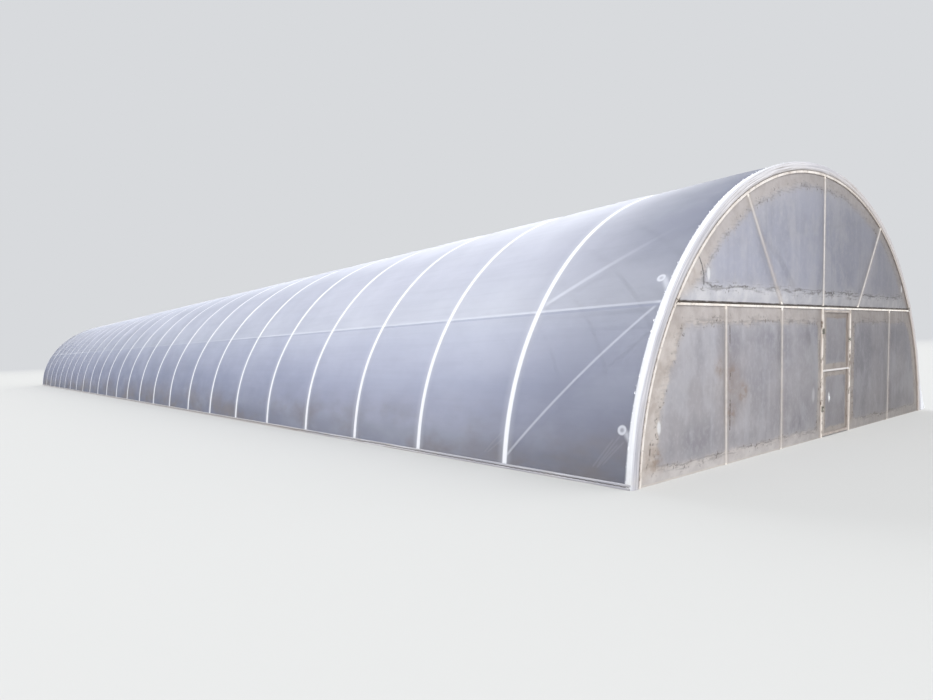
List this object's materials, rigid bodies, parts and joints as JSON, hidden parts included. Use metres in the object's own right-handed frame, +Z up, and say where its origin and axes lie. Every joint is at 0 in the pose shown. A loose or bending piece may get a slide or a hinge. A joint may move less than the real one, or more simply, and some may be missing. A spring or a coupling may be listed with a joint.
{
  "type": "polytunnel greenhouse, 1:2 scale model",
  "caption": "Long tunnel greenhouse with tube hoops under an inflated double film, film gables clamped to a frame, and a hinged door at one side of the front gable.",
  "frame": {"origin": "middle of the overall box, on the ground", "axes": "+X across the tunnel, to the right as one faces the front gable; +Y along the tunnel from the front gable with the door to the back gable; +Z up"},
  "size_m": [5.04, 25.0736, 2.12],
  "materials": {
    "cover_film": "milky translucent film, slightly dusty",
    "cover_film_edge": "bright folded film",
    "gable_film": "dirty translucent film with tan condensation stains",
    "galvanised_steel": "galvanised",
    "galvanised_frame": "galvanised",
    "rail_aluminium": "mill finish, dull",
    "cream_clamp": "cream, weathered",
    "hinge_steel": "zinc plated, dull",
    "white_plastic": "matt"
  },
  "bodies": {
    "tunnel": {"cover_left_skirt": "cover_film", "cover_left_wall": "cover_film", "cover_left_shoulder": "cover_film", "cover_left_haunch": "cover_film", "cover_left_crown": "cover_film", "cover_right_skirt": "cover_film", "cover_right_wall": "cover_film", "cover_right_shoulder": "cover_film", "cover_right_haunch": "cover_film", "cover_right_crown": "cover_film", "cover_hem_front": "cover_film_edge", "cover_hem_back": "cover_film_edge", "gable_film_upper_front": "gable_film", "gable_film_left_front": "gable_film", "gable_film_right_front": "gable_film", "gable_film_upper_back": "gable_film", "gable_film_lower_back": "gable_film", "hoops": "galvanised_steel", "end_hoop_front": "galvanised_steel", "end_hoop_back": "galvanised_steel", "side_purlins": "galvanised_steel", "upper_purlins": "galvanised_steel", "braces_front": "galvanised_steel", "braces_back": "galvanised_steel", "gable_beam_front": "galvanised_frame", "gable_beam_back": "galvanised_frame", "gable_posts_front": "galvanised_frame", "gable_posts_back": "galvanised_frame", "door_jambs": "galvanised_frame", "base_rails": "rail_aluminium", "film_clamp_front": "cream_clamp", "film_clamp_back": "cream_clamp", "gable_clamps_front": "cream_clamp", "gable_clamps_back": "cream_clamp", "door_jamb_clamps": "cream_clamp", "jamb_hinges": "hinge_steel", "latch_keeper": "hinge_steel", "air_jumpers": "white_plastic"},
    "door": {"door_frame": "galvanised_frame", "door_film": "gable_film", "door_hinges": "hinge_steel", "door_latch": "hinge_steel", "door_air_collar": "white_plastic"}
  },
  "joints": [
    {"name": "door_hinge", "type": "hinge", "parent": "tunnel", "child": "door", "pos_m": [0.01, -12.53147, 0.5], "axis": [0, 0, -1], "range_deg": [0, 110]}
  ]
}
